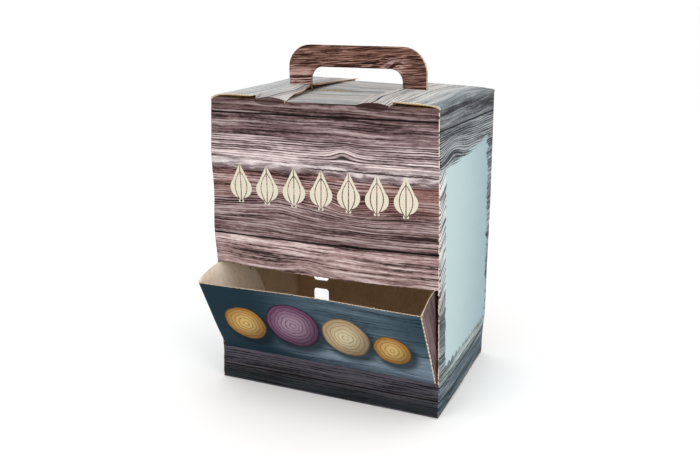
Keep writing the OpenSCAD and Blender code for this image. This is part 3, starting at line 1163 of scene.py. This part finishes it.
def lap_fold(u, v, depth):
    """The glue lap lies flat against the inside of the right wall."""
    return HALF_W - BOARD - LAP_GAP + depth, u, v


def make_glue_lap():
    """The lap glued inside the right wall at the rear corner, with slanted ends."""
    rear = HALF_D - BOARD
    short = LAP_TRIM + LAP_SLANT
    outline = [(rear, LAP_TRIM), (rear, WALL_H - LAP_TRIM)]
    outline += [(rear - LAP_W, WALL_H - short), (rear - LAP_W, short)]
    return fold_up("glue_lap", die_cut(outline), lap_fold, all_over(KRAFT))


# Chute

WING_START = PLATE_HALF + CORNER_RUN
WING_END = WING_START + WING_REACH - CREASE_R
WING_LEAN = math.radians(3.8)
CHUTE_LEGS = [(WING_REACH - CREASE_R, 0), (CORNER_RUN, QUARTER), (2 * PLATE_HALF, 0)]
CHUTE_LEGS += [(CORNER_RUN, QUARTER + WING_LEAN), (WING_REACH - CREASE_R, 0)]
CHUTE_BOW = 2.5
CHUTE_GIVE = 0.85
BOW_START = 15
CHUTE_TOOTH = 0.6
CHUTE_PITCH = 7


def wing_rim():
    """Round rim of the right wing, from its rear edge to the plate, with its catch notch."""
    centre = (WING_START - CREASE_R, 0)
    rear = math.degrees(math.acos(WING_REACH / CHUTE_L))
    catch = 90 - CATCH_ANGLE
    half = math.degrees(CATCH_W / 2 / CHUTE_L)
    front = math.degrees(math.acos(CREASE_R / CHUTE_L))
    rim = arc(centre, CHUTE_L, rear, catch - half, 3)
    rim += arc(centre, CHUTE_L - CATCH_D, catch - half, catch + half, 1)
    return rim + arc(centre, CHUTE_L, catch + half, front, 20)


def chute_outline():
    rim = wing_rim()
    foot = [(WING_START, -FOLD_GAP), (WING_END, -WING_DROP * WING_REACH)]
    edge = CHUTE_L - TEAR
    top = torn((PLATE_HALF, edge), (-PLATE_HALF, edge), (0, CHUTE_TOOTH), CHUTE_PITCH, 9)
    left = [(-u, v) for u, v in reversed([*foot, *rim])]
    return [*foot, *rim, *top, *left]


def chute_fold(u, v, depth):
    start = (-CHUTE_HALF, WING_REACH)
    place, normal = walk(start, -QUARTER, CHUTE_LEGS, u + WING_END)
    place += depth * normal
    if abs(u) < PLATE_HALF:
        place.y += CHUTE_BOW * math.cos(QUARTER * u / PLATE_HALF) ** 2 * smooth(v, BOW_START, CHUTE_L)
    y = place.y * math.cos(CHUTE_TILT) - v * math.sin(CHUTE_TILT)
    z = place.y * math.sin(CHUTE_TILT) + v * math.cos(CHUTE_TILT)
    return place.x, HINGE.y + y, HINGE.z + z


def chute_paper(u, v):
    return CHUTE_PRINT if abs(u) < CHUTE_FOLD else WING_PRINT


def chute_edge(u, v):
    """The ink runs over the edge at the chute's crease."""
    return CHUTE_PRINT if abs(u) < CHUTE_FOLD and v < 1 else RAW_EDGE


def make_chute():
    u_scores = steps(-WING_END, WING_END, SCORE)
    for fold in (-CHUTE_FOLD, CHUTE_FOLD):
        u_scores += steps(fold - CORNER_RUN / 2, fold + CORNER_RUN / 2, CORNER_RUN / BEND_SCORES)
    sheet = die_cut(chute_outline(), [], u_scores, steps(0, CHUTE_L, SCORE))
    return fold_up("chute_sheet", sheet, chute_fold, chute_paper, chute_edge, CHUTE_GIVE, LIT_CHUTE_KRAFT)


# Lid flaps

LID_INSET = 0.4
LID_END = HALF_D - LID_INSET
LID_ROOT = BOARD * QUARTER
LID_TIP = HALF_W - TIP_X
MOUTH_OVER = 1
LID_MOUTH = HALF_W - GRIP_HALF + MOUTH_OVER
LID_STEP = HALF_W - LOCK_NEAR - LOCK_W
ON_LIP = LID_STEP + 0.5
EAR_INSET = 1
EAR_START = LID_STEP + EAR_INSET
EAR_END = HALF_W - LOCK_NEAR - EAR_INSET
EAR_R = 1.0
EAR_DROP = 9
EAR_CORNER = 4
EAR_TURN = math.radians(86)
EAR_STEPS = 4
EAR_GAP = 0.6
EAR_EDGE = HALF_D - BOARD - EAR_GAP - EAR_R
LID_SLIT = 2.2
SLIT_GAP = 0.5
LID_SLIT_END = HALF_W - HANDLE_HALF - SLIT_GAP
LID_CUT = 6
LID_SPRING = 6.0
LID_TUCK = 9
LID_CRUSH = 1.0
LIP_SETS_IN = 55
# How far the painted shade on a lid flap's inner cut edges reaches in from its ear.
DARK_REACH = 30
INNER_EDGE = EAR_END - DARK_REACH
ROOT_SCORES = 5
CURVED = 15
LID_SCORE = 4
CROSS_SCORE = 6
NEARBY = 0.3
LEFT_SPRING = {
    "front": (5.9, 4.4),
    "middle": (7.0, 8.0),
    "back": (9.9, 7.9),
    "fall": 34,
    "tuck": 0.95,
    "lip": (3.5, 0.7),
    "tip": 2.4,
}
RIGHT_SPRING = {
    "front": (2.4, 5.3),
    "middle": (4.8, 7.2),
    "back": (2.6, 5.8),
    "fall": 60,
    "tuck": 0.5,
    "lip": (2.3, -0.4),
    "tip": 0,
}


def lid_half(way, tip):
    """Outline of one half of a lid flap, from its crease to its slit. tip is how much longer its tip is."""
    ear_low = EAR_EDGE + EAR_R * EAR_TURN + EAR_DROP
    points = [(0, LID_END), (LID_STEP, LID_END)]
    points += [(LID_STEP, LID_END - LID_CUT), (EAR_START, LID_END - LID_CUT)]
    points += [(EAR_START, ear_low - EAR_CORNER), (EAR_START + EAR_CORNER, ear_low)]
    points += [(EAR_END - EAR_CORNER, ear_low), (EAR_END, ear_low - EAR_CORNER)]
    points += [(EAR_END, EAR_EDGE), (LID_TIP + tip, EAR_EDGE)]
    points += [(LID_MOUTH, LID_SLIT), (LID_SLIT_END, LID_SLIT)]
    return [(p, way * q) for p, q in points]


def lid_rise(p, y, spring):
    """How far a lid flap's upper face springs up above its crease.

    A spring gives the rise near the crease and at the inner edge, in front, by the handle and behind,
    and over the middle and the ends of the lip in front.
    """
    end = spring["front"] if y < 0 else spring["back"]
    reach = spring["fall"] if y < 0 else HALF_D
    edge, inner = spring["middle"]
    edge += (end[0] - edge) * smooth(abs(y), 0, HALF_D)
    inner += (end[1] - inner) * smooth(abs(y), 0, reach)
    rise = edge * (1 - math.exp(-p / LID_SPRING)) + (inner - edge) * p / LID_MOUTH
    rise *= 1 - spring["tuck"] * smooth(y, HALF_D - LID_TUCK, HALF_D) * smooth(p, LID_TIP, LID_STEP)
    if p > ON_LIP:
        crown, low = spring["lip"]
        lip = crown - (crown - low) * ((p - (HALF_W - LOCK_MID)) / (LOCK_W / 2)) ** 2
        rise += (lip - rise) * smooth(-y, LIP_SETS_IN, EAR_EDGE)
    return rise


def lid_section(p, y, spring):
    """A place on a lid flap's upper face: how far in from its crease it is, and how high above it."""
    angle = min(max(p, 0) / BOARD, QUARTER)
    inward = BOARD * (1 - math.cos(angle)) + max(p - LID_ROOT, 0)
    return Vector((inward, BOARD * (math.sin(angle) - 1) + lid_rise(max(p, 0), y, spring)))


def lid_fold(side, spring):
    """The fold of the left (-1) or the right (1) lid flap."""
    def fold(p, q, depth):
        y = -side * q
        inner = max(-EAR_EDGE, min(EAR_EDGE, y)) if p > ON_LIP else y
        over = abs(y - inner)
        place = lid_section(p, inner, spring)
        if over > 0:
            legs = [(EAR_R * EAR_TURN, -EAR_TURN), (EAR_DROP, 0)]
            drop, normal = walk((0, 0), 0, legs, over)
            drop -= depth * normal
            beyond = inner + math.copysign(drop.x, y)
            return side * (HALF_W - place.x), beyond, LID_CREASE + place.y + drop.y
        ahead = lid_section(p + NEARBY, inner, spring) - lid_section(p - NEARBY, inner, spring)
        place += depth * Vector((-ahead.y, ahead.x)).normalized()
        return side * (HALF_W - place.x), inner, LID_CREASE + place.y
    return fold


def lid_edge(p, q):
    """The cut edges of a lid flap towards the middle of the carton are darker kraft: painted shade."""
    return SHADED_LID_EDGE_KRAFT if p > INNER_EDGE and abs(q) < EAR_EDGE else RAW_EDGE


def make_lid(name, side, spring, paper):
    far = lid_half(1, 0 if side > 0 else spring["tip"])
    near = lid_half(-1, spring["tip"] if side > 0 else 0)
    outline = [*near, *reversed(far)]
    u_scores = steps(0, LID_ROOT, LID_ROOT / ROOT_SCORES)
    u_scores += steps(LID_ROOT, CURVED, FINE_SCORE) + steps(CURVED, LID_TIP, LID_SCORE)
    v_scores = steps(-EAR_EDGE, EAR_EDGE, CROSS_SCORE)
    for way in (-1, 1):
        v_scores += [way * (EAR_EDGE + EAR_R * EAR_TURN * step / EAR_STEPS) for step in range(EAR_STEPS + 1)]
    sheet = die_cut(outline, [], u_scores, v_scores, LID_CRUSH)
    return fold_up(name, sheet, lid_fold(side, spring), all_over(paper), lid_edge)


def ride(piece, body):
    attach(piece, body)


def make_carton():
    sleeve = make_sleeve()
    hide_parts("carton_body")
    ride(sleeve, "carton")
    ride(make_top_flap("front_top_flap", flap_fold(*FRONT_SPRING)), "carton")
    ride(make_top_flap("back_top_flap", half_turn(flap_fold(*BACK_SPRING))), "carton")
    for piece in [*make_outer_base(), *make_inner_base()]:
        ride(piece, "carton")
    ride(make_glue_lap(), "carton")
    chute = make_chute()
    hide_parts("chute")
    ride(chute, "chute")
    lids = (
        ("left_lid", -1, LEFT_SPRING, LEFT_LID_PRINT),
        ("right_lid", 1, RIGHT_SPRING, RIGHT_LID_PRINT),
    )
    for name, side, spring, paper in lids:
        lid = make_lid(name + "_sheet", side, spring, paper)
        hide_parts(name + "_flap")
        ride(lid, name)


# Studio, with its places and sizes in metres

FLOOR_REACH = 60
FLOOR_WHITE = (0.98, 0.98, 0.98, 1)
FLOOR_MATT = 0.9
WHITE = (1, 1, 1, 1)
GREY = (0.42, 0.42, 0.42, 1)
SKY = [(0.02, WHITE), (0.06, GREY), (1, WHITE)]
SKY_STRENGTH = 1.3
KEY_LIGHT = {
    "place": (-0.9, -1.6, 1.7),
    "aim": (0, 0, 0.15),
    "size": 1.2,
    "power": 6,
    "colour": (1, 0.98, 0.95),
}
FILL_LIGHT = {
    "place": (1.3, -0.75, 0.5),
    "aim": (-0.1, -0.1, 0.1),
    "size": 0.9,
    "power": 9,
    "colour": (1, 0.97, 0.93),
}
CAMERA_PLACE = (0.3469, -0.7727, 0.3901)
CAMERA_AZIMUTH = math.radians(24.75)
CAMERA_ELEVATION = math.radians(15.74)
CAMERA_ROLL = math.radians(-0.64)
CAMERA_LENS = 42.19
CAMERA_SENSOR = 36


def make_floor():
    sheet = bmesh.new()
    bmesh.ops.create_grid(sheet, x_segments=1, y_segments=1, size=FLOOR_REACH)
    mesh = bpy.data.meshes.new("floor")
    sheet.to_mesh(mesh)
    sheet.free()
    floor = bpy.data.objects.new("floor", mesh)
    bpy.context.collection.objects.link(floor)
    material = bpy.data.materials.new("pale floor")
    material.use_nodes = True
    shader = material.node_tree.nodes["Principled BSDF"]
    shader.inputs["Base Color"].default_value = FLOOR_WHITE
    shader.inputs["Roughness"].default_value = FLOOR_MATT
    mesh.materials.append(material)


def make_light(name, place, aim, size, power, colour):
    lamp = bpy.data.lights.new(name, "AREA")
    lamp.size = size
    lamp.energy = power
    lamp.color = colour
    light = bpy.data.objects.new(name, lamp)
    light.location = place
    light.rotation_euler = (Vector(aim) - Vector(place)).to_track_quat("-Z", "Y").to_euler()
    bpy.context.collection.objects.link(light)


def make_studio():
    make_floor()
    world = bpy.data.worlds.new("studio")
    world.use_nodes = True
    back = world.node_tree.nodes["Background"]
    pen = Ink(world.node_tree)
    direction = pen.node("ShaderNodeTexCoord", {}, {})
    height = pen.node("ShaderNodeSeparateXYZ", {}, {0: direction}, out=2)
    sky = ramp(height, SKY)
    world.node_tree.links.new(sky.socket, back.inputs["Color"])
    back.inputs["Strength"].default_value = SKY_STRENGTH
    bpy.context.scene.world = world
    make_light("key", **KEY_LIGHT)
    make_light("fill", **FILL_LIGHT)
    bpy.context.scene.view_settings.view_transform = "Standard"


def make_camera():
    """The photograph's view: place, azimuth, elevation, roll and lens."""
    lens = bpy.data.cameras.new("camera")
    lens.lens = CAMERA_LENS
    lens.sensor_width = CAMERA_SENSOR
    camera = bpy.data.objects.new("camera", lens)
    turn = Matrix.Rotation(CAMERA_AZIMUTH, 4, "Z")
    tip = Matrix.Rotation(QUARTER - CAMERA_ELEVATION, 4, "X")
    roll = Matrix.Rotation(CAMERA_ROLL, 4, "Z")
    camera.matrix_world = Matrix.Translation(CAMERA_PLACE) @ turn @ tip @ roll
    bpy.context.collection.objects.link(camera)
    bpy.context.scene.camera = camera


make_camera()
make_studio()
make_carton()
